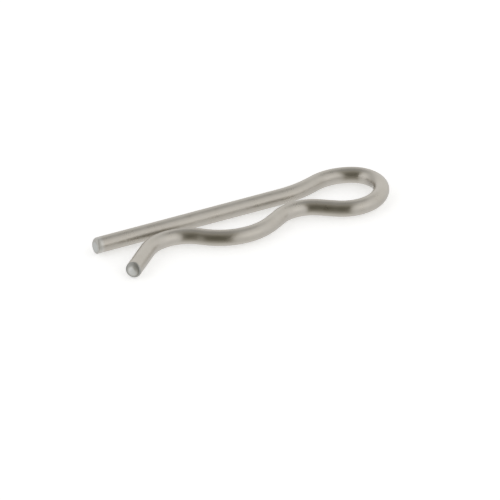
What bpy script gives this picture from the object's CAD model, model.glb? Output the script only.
import math
from collections import namedtuple

import bpy
import numpy as np
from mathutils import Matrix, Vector


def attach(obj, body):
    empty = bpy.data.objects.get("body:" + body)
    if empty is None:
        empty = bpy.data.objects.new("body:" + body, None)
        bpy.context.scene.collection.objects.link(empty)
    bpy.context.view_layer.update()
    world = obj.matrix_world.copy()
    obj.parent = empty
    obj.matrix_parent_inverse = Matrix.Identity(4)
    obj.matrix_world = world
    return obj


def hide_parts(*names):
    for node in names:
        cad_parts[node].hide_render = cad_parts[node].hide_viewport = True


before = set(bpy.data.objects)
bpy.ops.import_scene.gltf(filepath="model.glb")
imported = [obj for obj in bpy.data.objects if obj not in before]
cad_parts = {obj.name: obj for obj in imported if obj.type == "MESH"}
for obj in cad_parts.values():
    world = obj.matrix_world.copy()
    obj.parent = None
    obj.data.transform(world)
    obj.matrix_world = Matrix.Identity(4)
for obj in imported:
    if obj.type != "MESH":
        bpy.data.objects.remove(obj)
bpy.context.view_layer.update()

# A spring cotter pin of the R clip kind, which lies on a white table in a light tent.

MM = 0.001    # m
FULL_TURN = 2 * math.pi

# ---------------------------------------------------------------- the wire's sizes, in mm
# They are the part's own sizes. The wire is laid out as on a bending jig: each bend wraps a
# post, and each straight run is the tangent between two neighbouring posts.

WIRE_R = 1.0
OVERALL_LEN = 38.7
SHAFT_D = 10.0
EYE_IN_R, EYE_DROP, EYE_TURN = 2.5, 2.45, 89.0
SHOULDER_IN_R, SHOULDER_FALL, HEEL_IN_R = 5.2, 28.5, 3.8
LIFT_IN_R, LIFT_RUN = 13.0, 0.9
THROAT_GAP, THROAT_IN_R, THROAT_RUN = 1.55, 3.8, 2.15
BOW_PLAY, BOW_EASE, BOW_RUN = 0.2, 1.5, 2.05
NIP_GAP, NIP_IN_R, NIP_RUN = 0.56, 4.4, 0.5
FLARE_ANGLE, FLARE_RUN = 42.5, 5.3
END_ROUND = 0.3

JOIN_SLACK = 1e-9       # so that no distance along the wire falls between two of its pieces
SEARCH_POINTS = 4000    # along the wire, to find how far it reaches


def tangent_heading(a, b):
    """Heading of the wire on the tangent from post a to post b."""
    across = math.hypot(b[0] - a[0], b[1] - a[1])
    return math.atan2(b[1] - a[1], b[0] - a[0]) - math.asin((b[2] - a[2]) / across)


def wire_layout():
    """The posts as (x, y, signed radius of the centreline), the headings and the straight runs."""
    lift_r, shoulder_r = LIFT_IN_R + WIRE_R, SHOULDER_IN_R + WIRE_R
    eye_r, heel_r = EYE_IN_R + WIRE_R, HEEL_IN_R + WIRE_R
    throat_r, nip_r = THROAT_IN_R + WIRE_R, NIP_IN_R + WIRE_R
    bow_r = SHAFT_D / 2 + BOW_EASE + WIRE_R
    throat_y = -(2 * WIRE_R + THROAT_GAP) - throat_r
    bow_y = -(SHAFT_D / 2 + BOW_PLAY + WIRE_R) + bow_r
    nip_y = -(2 * WIRE_R + NIP_GAP) - nip_r

    # the shoulder and the heel each share a tangent with the eye's outer end
    shoulder_end = -math.radians(SHOULDER_FALL)
    heel_start = shoulder_end - math.radians(EYE_TURN)
    eye_x, eye_y = OVERALL_LEN - WIRE_R - eye_r, -EYE_DROP

    def beside_eye(radius, heading):
        shift = eye_r - radius
        return eye_x - shift * math.sin(heading), eye_y + shift * math.cos(heading), -radius

    def spacing(radii, height, run):
        return math.sqrt(radii**2 + run**2 - height**2)

    shoulder, heel = beside_eye(shoulder_r, shoulder_end), beside_eye(heel_r, heel_start)
    lift_x = shoulder[0] - spacing(lift_r + shoulder_r, lift_r - shoulder[1], LIFT_RUN)
    throat_x = heel[0] - spacing(heel_r + throat_r, heel[1] - throat_y, THROAT_RUN)
    bow_x = throat_x - spacing(throat_r + bow_r, bow_y - throat_y, BOW_RUN)
    nip_x = bow_x - spacing(bow_r + nip_r, bow_y - nip_y, NIP_RUN)
    lift, throat = (lift_x, lift_r, lift_r), (throat_x, throat_y, throat_r)
    bow, nip = (bow_x, bow_y, -bow_r), (nip_x, nip_y, nip_r)
    posts = [lift, shoulder, (eye_x, eye_y, -eye_r), heel, throat, bow, nip]
    headings = [
        0.0,
        tangent_heading(lift, shoulder),
        shoulder_end,
        heel_start,
        tangent_heading(heel, throat),
        tangent_heading(throat, bow),
        tangent_heading(bow, nip),
        math.pi + math.radians(FLARE_ANGLE),
    ]
    runs = [lift_x, LIFT_RUN, 0.0, 0.0, THROAT_RUN, BOW_RUN, NIP_RUN, FLARE_RUN]
    return posts, headings, runs


def wire_pieces():
    """(length, signed radius or 0) of each straight run and bend, from the leg's cut end."""
    posts, headings, runs = wire_layout()
    pieces = []
    for i, (_x, _y, radius) in enumerate(posts):
        sense = math.copysign(1, radius)
        turn = (sense * (headings[i + 1] - headings[i])) % FULL_TURN
        pieces += [(runs[i], 0.0), (abs(radius) * turn, radius)]
    pieces.append((runs[-1], 0.0))
    return [piece for piece in pieces if piece[0] > 0]


PIECES = wire_pieces()
WIRE_LEN = sum(length for length, _radius in PIECES)


def centreline(stations):
    """x, y, heading and curvature at each distance along the wire."""
    x = y = heading = done = 0.0
    rows = np.zeros((len(stations), 4))
    for length, radius in PIECES:
        inside = (stations >= done - JOIN_SLACK) & (stations <= done + length + JOIN_SLACK)
        t = stations[inside] - done
        if radius == 0:
            rows[inside] = np.stack(
                [x + t * math.cos(heading), y + t * math.sin(heading),
                 np.full_like(t, heading), np.zeros_like(t)], 1)
            x += length * math.cos(heading)
            y += length * math.sin(heading)
        else:
            cx, cy = x - radius * math.sin(heading), y + radius * math.cos(heading)
            h = heading + t / radius
            rows[inside] = np.stack(
                [cx + radius * np.sin(h), cy - radius * np.cos(h), h,
                 np.full_like(t, 1 / radius)], 1)
            heading += length / radius
            x, y = cx + radius * math.sin(heading), cy - radius * math.cos(heading)
        done += length
    return rows


def part_shift():
    """From the wire's own axes, which start at the leg's cut end, to the part's, in mm.

    The part's origin is under the middle of the CAD's box. Its lowest y is on the tip's rim.
    """
    tip_y, tip_heading = centreline(np.array([WIRE_LEN]))[0, 1:3]
    low = tip_y - END_ROUND * (1 + math.sin(tip_heading))
    low -= (WIRE_R - END_ROUND) * abs(math.cos(tip_heading))
    high = centreline(np.linspace(0, WIRE_LEN, SEARCH_POINTS))[:, 1].max() + WIRE_R
    return np.array([-OVERALL_LEN / 2, -(low + high) / 2, WIRE_R])


# ---------------------------------------------------------------- the wire's surface, in mm

AROUND = 96              # facets round the wire
STEP = 0.12              # from one ring to the next along it
END_STEP = 0.02          # from a cut end's last ring to the next one along the wire
FACE_RINGS = 9           # rings across each cut face
RIM_RINGS = 9            # rings over each rounded rim
END_RINGS = FACE_RINGS + RIM_RINGS
FACE_BACK = 0.022        # from the nominal end to the middle of each cut face
FACE_DOME = 0.030        # from there back to the edge of the face
BEVEL_FROM = 0.45        # share of the face's radius at which its rolled side falls away
BEVEL_EASE = 0.15        # share of that radius over which the fall begins
TONE_RINGS = (FACE_RINGS - 4.0, FACE_RINGS + 1.0)    # where a face's tone gives way to its rim's
FADE_RINGS = (END_RINGS - 1.0, END_RINGS - 5.0)      # from the wire in to the rim's full tone
BEVEL_RINGS = 5.0        # rings by which a bevel of slope 1 brings the rim's tone inwards
BEND_EASE = 1.1          # on each side of where a bend begins or ends, while it eases in
EASE_SAMPLES = 15        # points that are averaged for that
UV_LENGTH = 10           # of wire for each unit of u

# The relief. A pair in brackets is the range of a random draw, or the two sides of a soft edge.
BASE_DEPTH = 0.0012      # of the whole surface under the nominal wire
WAVES, WAVE_DEPTH = 7, 0.0004
WAVE_TURN = (0.25, 1.1)               # rad for each mm along the wire
WAVE_LOBES = (1, 4)                   # whole numbers, round the wire
DIE_LINES = 5
DIE_LINE_WIDTH = (0.05, 0.11)         # rad
DIE_LINE_DEPTH = (0.0006, 0.0014)
SWAY, SWAY_LENGTH = 0.25, (14, 30)    # of a die line to and fro, in rad, and along the wire
BEND_FLAT = 0.016        # depth in the middle of a bend's inner side
FLAT_CURVATURE = (0.03, 0.22)         # 1/mm, from where a bend has none of it to all of it
FLAT_INNER = (0.45, 1.0)              # the same from the bend's flank to its inner side
DENTS = 42
DENT_SIZE, DENT_STRETCH = (0.09, 0.26), (1.0, 2.2)
DENT_DEPTH = (0.0010, 0.0045)
END_MARGIN = 1           # along the wire, where no dent is centred

# How an end is sheared: the angle round the wire at which it is rolled over, the radius of its
# rim on the sharp side and on the rolled side, and the slope of its face on the rolled side
Cut = namedtuple("Cut", "roll_at sharp rolled bevel")
LEG_CUT = Cut(math.radians(60), 0.07, 0.44, 0.10)
TIP_CUT = Cut(math.radians(94), 0.33, 0.40, 0.62)

LEG_PALE = 0.5           # how bright the leg's rim is at least, and the wire next to it
LEG_PALE_TO = 0.55       # distance from its rim at which that has faded out

# the wire's materials, by their place in its list
DRAWN, LEG_END, TIP_END = 0, 1, 2

rng = np.random.default_rng(7)


def smoothstep(low, high, x):
    t = np.clip((x - low) / (high - low), 0, 1)
    return t * t * (3 - 2 * t)


def angle_between(a, b):
    return np.angle(np.exp(1j * (a - b)))


def eased_curvature(stations):
    """The centreline's curvature, eased where a bend begins or ends."""
    total = np.zeros_like(stations)
    offsets = np.linspace(-BEND_EASE, BEND_EASE, EASE_SAMPLES)
    for offset in offsets:
        total += centreline(np.clip(stations + offset, 0, WIRE_LEN))[:, 3]
    return total / len(offsets)


def surface_relief(s, theta, curvature, inner):
    """How far the surface lies under the nominal wire, at distance s and angle theta."""
    depth = np.full(s.shape, BASE_DEPTH)
    # a slow unevenness from drawing and bending
    for _ in range(WAVES):
        wave = rng.uniform(*WAVE_TURN)
        lobes = rng.integers(*WAVE_LOBES)
        phase, twist = rng.uniform(0, FULL_TURN, 2)
        depth += WAVE_DEPTH * (1 + np.cos(wave * s + phase) * np.cos(lobes * theta + twist))
    # a few die lines that run the whole length
    for _ in range(DIE_LINES):
        at, width = rng.uniform(0, FULL_TURN), rng.uniform(*DIE_LINE_WIDTH)
        sway = SWAY * np.sin(s / rng.uniform(*SWAY_LENGTH) + rng.uniform(0, 6))
        away = angle_between(theta, at + sway)
        depth += rng.uniform(*DIE_LINE_DEPTH) * np.exp(-((away / width) ** 2))
    # a bend flattens the wire a little where it meets the former
    bent = smoothstep(*FLAT_CURVATURE, np.abs(curvature))
    depth += BEND_FLAT * bent * smoothstep(*FLAT_INNER, inner)
    # small dents from tumbling
    for _ in range(DENTS):
        at_s = rng.uniform(END_MARGIN, WIRE_LEN - END_MARGIN)
        at_theta = rng.uniform(0, FULL_TURN)
        size, stretch = rng.uniform(*DENT_SIZE), rng.uniform(*DENT_STRETCH)
        away = angle_between(theta, at_theta) * WIRE_R
        away2 = (away / size) ** 2 + ((s - at_s) / (size * stretch)) ** 2
        depth += rng.uniform(*DENT_DEPTH) * np.exp(-away2)
    return depth


def rolled_side(theta, cut):
    """1 where a cut end is rolled over, and 0 on the other side of the wire."""
    return 0.5 * (1 + np.cos(theta - cut.roll_at))


def end_profile(theta, cut):
    """Distance out from the wire's middle and back from its end, ring by ring over a cut end.

    A sheared wire is rolled over on one side of its face. There the face falls away at the
    slope of the bevel, and its rim has the larger radius. The first ring is the one nearest
    the middle of the face, and the last is where the wire is full.
    """
    side = rolled_side(theta, cut)
    rim = cut.sharp + (cut.rolled - cut.sharp) * side**1.5
    slope = cut.bevel * side**3
    tilt = np.arctan(slope)
    face = WIRE_R - rim * (1 - np.sin(tilt))
    out, back = [], []
    for k in range(1, FACE_RINGS + 1):
        share = k / FACE_RINGS
        past = share - BEVEL_FROM
        fall = slope * face * 0.5 * (past + math.sqrt(past**2 + BEVEL_EASE**2))
        out.append(share * face)
        back.append(FACE_BACK + FACE_DOME * share**2 + fall)
    edge = back[-1]
    for k in range(1, RIM_RINGS + 1):
        a = tilt + (0.5 * math.pi - tilt) * k / RIM_RINGS
        out.append(WIRE_R - rim * (1 - np.sin(a)))
        back.append(edge + rim * (np.cos(tilt) - np.cos(a)))
    return np.array(out), np.array(back)


def rim_share(theta, cut):
    """0 on a cut end's face and 1 on its rim, ring by ring. A bevel counts as rim in part."""
    bevelled = BEVEL_RINGS * cut.bevel * rolled_side(theta, cut) ** 3
    ring = np.arange(END_RINGS)[:, None]
    return smoothstep(*TONE_RINGS, ring + bevelled)


def cut_tones(theta, side_s):
    """How bright the cut is and how dull its rim is, ring by ring over the whole wire."""
    # the leg's end is pale past its rim, where the shear has burnished it
    pale = LEG_PALE * smoothstep(LEG_PALE_TO, -0.1, side_s - side_s[0])
    pale = pale[:, None] * np.ones(AROUND)
    leg_bright = np.maximum(1 - rim_share(theta, LEG_CUT), LEG_PALE)
    tip_rim = rim_share(theta, TIP_CUT)
    bright = np.vstack([leg_bright, pale, (1 - tip_rim)[::-1]])
    # only the tip's rim is dull, and less and less so towards the drawn wire
    fade = smoothstep(*FADE_RINGS, np.arange(END_RINGS))
    tip_dull = tip_rim * fade[:, None]
    dull = np.vstack([np.zeros((len(bright) - END_RINGS, AROUND)), tip_dull[::-1]])
    return bright, dull


def wire_faces(rings):
    """Quads between neighbouring rings, then a fan of triangles round the middle of each end."""
    faces = []
    for a in range(0, (rings - 1) * AROUND, AROUND):
        b = a + AROUND
        for j in range(AROUND):
            k = (j + 1) % AROUND
            faces.append((a + j, a + k, b + k, b + j))
    tail, first, last = (rings - 1) * AROUND, rings * AROUND, rings * AROUND + 1
    for j in range(AROUND):
        k = (j + 1) % AROUND
        faces += [(first, k, j), (last, tail + j, tail + k)]
    return faces


def material_of_faces(rings, count):
    """The cut ends have materials of their own. The two fans take turns, the leg's first."""
    band = np.arange(count) // AROUND
    material = np.full(count, DRAWN, np.int32)
    material[band < END_RINGS] = LEG_END
    material[band >= rings - 1 - END_RINGS] = TIP_END
    material[(rings - 1) * AROUND::2] = LEG_END
    return material


def add_values(mesh, name, values, at_middles):
    """A number at each point: ring by ring, then in the middle of both cut faces."""
    flat = np.append(values.ravel(), [at_middles, at_middles]).astype(np.float32)
    mesh.attributes.new(name, "FLOAT", "POINT").data.foreach_set("value", flat)


def add_uv(mesh, faces, along, rings):
    """u runs along the wire and v round it, so that the shine can follow the drawing lines."""
    corner = np.zeros(len(mesh.loops), np.int64)
    mesh.loops.foreach_get("vertex_index", corner)
    around = np.append(np.tile(np.arange(AROUND) / AROUND, rings), [0.0, 0.0])
    u, v = along[corner] / UV_LENGTH, around[corner]
    # a face that closes the ring reads 1 where its far side would read 0
    face_of_corner = np.repeat(np.arange(len(faces)), [len(face) for face in faces])
    highest = np.zeros(len(faces))
    np.maximum.at(highest, face_of_corner, v)
    v[(highest[face_of_corner] > 0.9) & (v < 0.1)] += 1
    uv = mesh.uv_layers.new(name="UVMap")
    uv.data.foreach_set("uv", np.stack([u, v], 1).astype(np.float32).ravel())


def build_wire():
    """The whole wire as one closed surface, with its points ring by ring from the leg's end."""
    theta = np.arange(AROUND) * FULL_TURN / AROUND
    leg_out, leg_back = end_profile(theta, LEG_CUT)
    tip_out, tip_back = end_profile(theta, TIP_CUT)
    side_from = leg_back[-1].max() + END_STEP
    side_to = WIRE_LEN - tip_back[-1].max() - END_STEP
    side_s = np.linspace(side_from, side_to, int((side_to - side_from) / STEP))
    side = side_s[:, None] * np.ones(AROUND)
    s = np.vstack([leg_back, side, WIRE_LEN - tip_back[::-1]])
    radius = np.vstack([leg_out, np.full(side.shape, WIRE_R), tip_out[::-1]])
    angle = np.broadcast_to(theta, s.shape)
    rings = len(s)

    line = centreline(s.ravel()).reshape(rings, AROUND, 4)
    x, y, heading = line[..., 0], line[..., 1], line[..., 2]
    curvature = eased_curvature(s.ravel()).reshape(s.shape)
    inner = np.cos(angle) * np.sign(curvature)
    full = smoothstep(0.5, 1.0, radius / WIRE_R)
    radius = radius - surface_relief(s, angle, curvature, inner) * full
    across = radius * np.cos(angle)
    points = np.stack(
        [x - across * np.sin(heading), y + across * np.cos(heading), radius * np.sin(angle)], -1)
    middles = centreline(np.array([FACE_BACK, WIRE_LEN - FACE_BACK]))
    middles = np.column_stack([middles[:, :2], [0.0, 0.0]])
    points = np.vstack([points.reshape(-1, 3), middles]) + part_shift()

    faces = wire_faces(rings)
    mesh = bpy.data.meshes.new("clip_wire")
    mesh.from_pydata((points * MM).tolist(), [], faces)
    mesh.update()
    mesh.polygons.foreach_set("material_index", material_of_faces(rings, len(faces)))
    mesh.shade_smooth()
    piece = bpy.data.objects.new("clip_wire", mesh)
    bpy.context.scene.collection.objects.link(piece)

    # where each point lies along and round the wire, for the finish that follows the wire
    lay = np.stack([s, np.cos(angle), np.sin(angle)], -1).reshape(-1, 3)
    lay = np.vstack([lay, [[0.0, 0.0, 0.0], [WIRE_LEN, 0.0, 0.0]]]).astype(np.float32)
    mesh.attributes.new("lay", "FLOAT_VECTOR", "POINT").data.foreach_set("vector", lay.ravel())
    bright, dull = cut_tones(theta, side_s)
    add_values(mesh, "cut_face", bright, 1.0)
    add_values(mesh, "cut_rim", dull, 0.0)
    add_values(mesh, "bend", np.abs(curvature), 0.0)
    add_values(mesh, "inner", inner, 0.0)
    add_uv(mesh, faces, lay[:, 0], rings)
    return piece


# ---------------------------------------------------------------- node helpers


class Tree:
    """Adds nodes to a tree. A value is a number, a tuple or another node's output."""

    def __init__(self, tree):
        self.tree = tree
        tree.nodes.clear()

    def feed(self, socket, value):
        if isinstance(value, bpy.types.NodeSocket):
            self.tree.links.new(value, socket)
        else:
            socket.default_value = value

    def put(self, kind, inputs=None, **settings):
        """A node of a kind, with its inputs by name or by number."""
        node = self.tree.nodes.new(kind)
        for key, value in settings.items():
            setattr(node, key, value)
        for key, value in (inputs or {}).items():
            self.feed(node.inputs[key], value)
        return node

    def math(self, operation, a, b=0.0):
        return self.put("ShaderNodeMath", {0: a, 1: b}, operation=operation).outputs[0]

    def total(self, first, *others):
        for value in others:
            first = self.math("ADD", first, value)
        return first

    def product(self, first, *others):
        for value in others:
            first = self.math("MULTIPLY", first, value)
        return first

    def rest(self, value):
        """What is left of 1."""
        return self.math("SUBTRACT", 1.0, value)

    def in_degrees(self, operation, a, b=0.0):
        return self.math("MULTIPLY", self.math(operation, a, b), 180 / math.pi)

    def step(self, value, low, high, to_low=0.0, to_high=1.0):
        return self.put(
            "ShaderNodeMapRange",
            {
                "Value": value, "From Min": low, "From Max": high,
                "To Min": to_low, "To Max": to_high,
            },
            interpolation_type="SMOOTHSTEP",
        ).outputs["Result"]

    def band(self, value, rise, fall):
        """1 between two soft edges, each from where the band is 0 to where it is full."""
        return self.product(self.step(value, *rise), self.step(value, *fall))

    def dot(self, vector, direction):
        return self.put(
            "ShaderNodeVectorMath", {0: vector, 1: direction}, operation="DOT_PRODUCT"
        ).outputs["Value"]

    def scaled(self, vector, scale):
        return self.put(
            "ShaderNodeVectorMath", {0: vector, 1: scale}, operation="MULTIPLY"
        ).outputs["Vector"]

    def noise(self, vector, scale, detail, roughness):
        return self.put(
            "ShaderNodeTexNoise",
            {"Vector": vector, "Scale": scale, "Detail": detail, "Roughness": roughness},
        ).outputs["Fac"]

    def mix_colour(self, factor, a, b):
        return self.put("ShaderNodeMix", {0: factor, 6: a, 7: b}, data_type="RGBA").outputs[2]

    def point_value(self, name, output="Fac"):
        return self.put("ShaderNodeAttribute", attribute_name=name).outputs[output]


# ---------------------------------------------------------------- the wire's materials

PLATING_DARK = (0.485, 0.456, 0.405, 1)
PLATING_LIGHT = (0.525, 0.497, 0.448, 1)
DRAWING_LINE = (0.40, 0.37, 0.325, 1)
WORN_BEND = (0.56, 0.53, 0.485, 1)
DULL_RIM = (0.355, 0.365, 0.355, 1)
PALE_CUT = (0.69, 0.70, 0.685, 1)
LINE_RELIEF, GRAIN_RELIEF = 0.0000026, 0.0000020    # m
LINE_SCALE, HAIR_SCALE = (0.18, 13.0, 13.0), (0.9, 46.0, 46.0)    # along and round the wire
SQUARE_TO_TANGENT = 0.25                            # of a turn, for lines along the wire


def plated_wire(name, drawn, scuffed):
    """Bright spring wire: a satin plating over fine drawing lines, and paler on a cut.

    The lines scatter the light round the wire far more than along it, by the value of drawn.
    The value of scuffed is added to the roughness.
    """
    material = bpy.data.materials.new(name)
    material.use_nodes = True
    t = Tree(material.node_tree)
    lay = t.point_value("lay", "Vector")
    cut = t.point_value("cut_face")
    rim = t.point_value("cut_rim")
    bend = t.point_value("bend")
    inner = t.point_value("inner")
    place = t.put("ShaderNodeTexCoord").outputs["Object"]

    lines = t.noise(t.scaled(lay, LINE_SCALE), scale=1.0, detail=4.0, roughness=0.62)
    hair = t.noise(t.scaled(lay, HAIR_SCALE), scale=1.0, detail=2.0, roughness=0.5)
    cloud = t.noise(place, scale=620.0, detail=3.0, roughness=0.55)
    grain = t.noise(place, scale=9000.0, detail=2.0, roughness=0.6)
    worn = t.product(t.step(bend, 0.05, 0.2), t.step(inner, 0.5, 0.95))

    tone = t.mix_colour(t.step(cloud, 0.3, 0.72), PLATING_DARK, PLATING_LIGHT)
    tone = t.mix_colour(t.step(lines, 0.60, 0.80, 0.0, 0.35), tone, DRAWING_LINE)
    tone = t.mix_colour(t.product(worn, 0.35), tone, WORN_BEND)
    tone = t.mix_colour(t.product(rim, 0.8), tone, DULL_RIM)
    tone = t.mix_colour(cut, tone, PALE_CUT)

    rough = t.total(
        t.step(cloud, 0.25, 0.75, 0.26, 0.34), t.step(grain, 0.3, 0.8, 0.0, 0.05),
        t.product(cut, 0.08), t.product(rim, 0.14), scuffed)

    relief = t.product(t.total(t.product(lines, 0.75), t.product(hair, 0.25)), t.rest(cut))
    drawing = t.put("ShaderNodeBump", {"Height": relief, "Strength": 1.0, "Distance": LINE_RELIEF})
    fine = t.put(
        "ShaderNodeBump",
        {
            "Height": grain, "Strength": 0.6, "Distance": GRAIN_RELIEF,
            "Normal": drawing.outputs[0],
        },
    )
    along = t.put("ShaderNodeTangent", direction_type="UV_MAP", uv_map="UVMap")
    surface = t.put(
        "ShaderNodeBsdfPrincipled",
        {
            "Base Color": tone, "Metallic": 1.0, "Roughness": rough, "Normal": fine.outputs[0],
            "Anisotropic": drawn, "Anisotropic Rotation": SQUARE_TO_TANGENT,
            "Tangent": along.outputs[0],
        },
    )
    t.put("ShaderNodeOutputMaterial", {"Surface": surface.outputs[0]})
    return material


# ---------------------------------------------------------------- the studio

CAMERA_AZIMUTH, CAMERA_ELEVATION = math.radians(-28.06), math.radians(30.0)
CAMERA_DISTANCE = 2.0                # m
CLIP_NEAR, CLIP_FAR = 0.01, 20.0     # m
PIXELS_PER_M = 8253.0                # at the point that the camera looks at
LOOK_AT = Vector((-0.0032128, -0.0068666, 0.0010525))
FRAME_PIXELS, SENSOR = 500, 36.0     # the picture's width, and the sensor's in mm

WHITE = (1, 1, 1, 1)
ROOF_LEAN = math.radians(18.0)       # away from the camera
ROOF_LEVEL = 0.42
TABLE_LOSS, BELOW_GAIN = 0.15, 0.20
DULL_WALL_LOSS = 0.27
OPENING_LEVEL = 0.15
OPENING_TINT = (1, 0.94, 0.74, 1)
FLOOR_SIZE = 6.0                     # m
FLOOR_TONE = (0.76, 0.76, 0.76, 1)
FLOOR_LIFT = 0.52                    # what the lit floor lacks of white, for the camera
LAMP_DISTANCE = 0.8                  # m


def direction(azimuth, elevation):
    """Towards an azimuth from the front, where -Y is, and an elevation."""
    return Vector((
        math.sin(azimuth) * math.cos(elevation),
        -math.cos(azimuth) * math.cos(elevation),
        math.sin(elevation),
    ))


def set_up(name, data, aim, out, distance):
    """Puts a camera or a lamp out at a distance from a point, and aims it back at the point."""
    holder = bpy.data.objects.new(name, data)
    holder.location = aim + out * distance
    holder.rotation_mode = "QUATERNION"
    holder.rotation_quaternion = (-out).to_track_quat("-Z", "Y")
    bpy.context.scene.collection.objects.link(holder)
    return holder


def make_camera():
    data = bpy.data.cameras.new("camera")
    data.sensor_width = SENSOR
    data.lens = SENSOR * PIXELS_PER_M * CAMERA_DISTANCE / FRAME_PIXELS
    data.clip_start, data.clip_end = CLIP_NEAR, CLIP_FAR
    out = direction(CAMERA_AZIMUTH, CAMERA_ELEVATION)
    bpy.context.scene.camera = set_up("camera", data, LOOK_AT, out, CAMERA_DISTANCE)


def make_softbox(name, azimuth, elevation, radiance, width, height):
    """A soft lamp at an azimuth from the camera's and an elevation.

    Angles are in degrees, sizes in m, and the radiance in W for each m2 and steradian.
    """
    lamp = bpy.data.lights.new(name, "AREA")
    lamp.shape, lamp.size, lamp.size_y = "RECTANGLE", width, height
    lamp.energy = radiance * math.pi * width * height
    out = direction(CAMERA_AZIMUTH + math.radians(azimuth), math.radians(elevation))
    set_up(name, lamp, Vector(), out, LAMP_DISTANCE)


def make_world():
    """A light tent: white round the sides, grey overhead, and open where the camera looks in.

    Angles are in degrees, and azimuths are from the camera's. The camera itself sees white.
    """
    world = bpy.data.worlds.new("studio")
    bpy.context.scene.world = world
    world.use_nodes = True
    t = Tree(world.node_tree)
    towards = t.put("ShaderNodeTexCoord").outputs["Generated"]
    front_x, front_y = math.sin(CAMERA_AZIMUTH), -math.cos(CAMERA_AZIMUTH)
    front = t.dot(towards, (front_x, front_y, 0.0))
    side = t.dot(towards, (-front_y, front_x, 0.0))
    up = t.dot(towards, (0.0, 0.0, 1.0))
    azimuth = t.in_degrees("ARCTAN2", side, front)
    elevation = t.in_degrees("ARCSINE", up)

    # the grey roof
    lean = math.sin(ROOF_LEAN)
    roof = t.dot(towards, (-front_x * lean, -front_y * lean, math.cos(ROOF_LEAN)))
    from_roof = t.in_degrees("ARCCOSINE", roof)
    level = t.step(from_roof, 10.0, 40.0, ROOF_LEVEL, 1.0)
    # the table is a little darker than the tent's walls, and brighter again right below
    table = t.math(
        "SUBTRACT",
        t.step(elevation, 15.0, -20.0, 0.0, TABLE_LOSS),
        t.step(elevation, -35.0, -75.0, 0.0, BELOW_GAIN))
    level = t.product(level, t.rest(table))
    # a duller wall behind and to the left
    dull = t.product(
        t.band(azimuth, (-160.0, -120.0), (-75.0, -115.0)),
        t.band(elevation, (-65.0, -35.0), (72.0, 44.0)),
        DULL_WALL_LOSS)
    level = t.product(level, t.rest(dull))
    # the opening that the camera looks in through
    opening = t.product(
        t.band(side, (-0.56, -0.42), (0.42, 0.28)),
        t.step(front, 0.0, 0.12),
        t.step(elevation, -75.0, 10.0),
        t.step(elevation, 90.0, 45.0, 0.4, 1.0))
    dark = t.product(t.math("SUBTRACT", level, OPENING_LEVEL), opening)
    level = t.math("SUBTRACT", level, dark)

    seen = t.put("ShaderNodeLightPath").outputs["Is Camera Ray"]
    unseen = t.rest(seen)
    strength = t.total(t.product(level, unseen), seen)
    colour = t.mix_colour(t.product(opening, unseen), WHITE, OPENING_TINT)
    background = t.put("ShaderNodeBackground", {"Color": colour, "Strength": strength})
    t.put("ShaderNodeOutputWorld", {"Surface": background.outputs[0]})


def make_floor():
    """A white table that keeps the clip's shadow. Metal shows the tent's lit table in its place."""
    half = FLOOR_SIZE / 2
    corners = [(-half, -half, 0), (half, -half, 0), (half, half, 0), (-half, half, 0)]
    mesh = bpy.data.meshes.new("floor")
    mesh.from_pydata(corners, [], [(0, 1, 2, 3)])
    floor = bpy.data.objects.new("floor", mesh)
    bpy.context.scene.collection.objects.link(floor)
    material = bpy.data.materials.new("white_floor")
    material.use_nodes = True
    t = Tree(material.node_tree)
    path = t.put("ShaderNodeLightPath").outputs
    lit = t.put("ShaderNodeBsdfDiffuse", {"Color": FLOOR_TONE})
    lift = t.product(path["Is Camera Ray"], FLOOR_LIFT)
    glow = t.put("ShaderNodeEmission", {"Color": WHITE, "Strength": lift})
    table = t.put("ShaderNodeAddShader", {0: lit.outputs[0], 1: glow.outputs[0]})
    in_metal = t.math("MAXIMUM", path["Is Glossy Ray"], path["Is Transmission Ray"])
    clear = t.put("ShaderNodeBsdfTransparent")
    shown = t.put("ShaderNodeMixShader", {0: in_metal, 1: table.outputs[0], 2: clear.outputs[0]})
    t.put("ShaderNodeOutputMaterial", {"Surface": shown.outputs[0]})
    mesh.materials.append(material)


# ---------------------------------------------------------------- the scene

wire = build_wire()
# in the order of DRAWN, LEG_END and TIP_END
wire.data.materials.append(plated_wire("drawn_wire", drawn=0.8, scuffed=0.0))
wire.data.materials.append(plated_wire("leg_end", drawn=0.0, scuffed=0.2))
wire.data.materials.append(plated_wire("tip_end", drawn=0.0, scuffed=0.0))
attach(wire, "root")
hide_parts("r_clip")

make_floor()
make_world()
make_softbox("key", azimuth=56, elevation=20, radiance=0.22, width=0.50, height=0.36)
make_softbox("fill", azimuth=-68, elevation=26, radiance=0.08, width=0.40, height=0.40)
make_camera()

bpy.context.scene.view_settings.view_transform = "Standard"
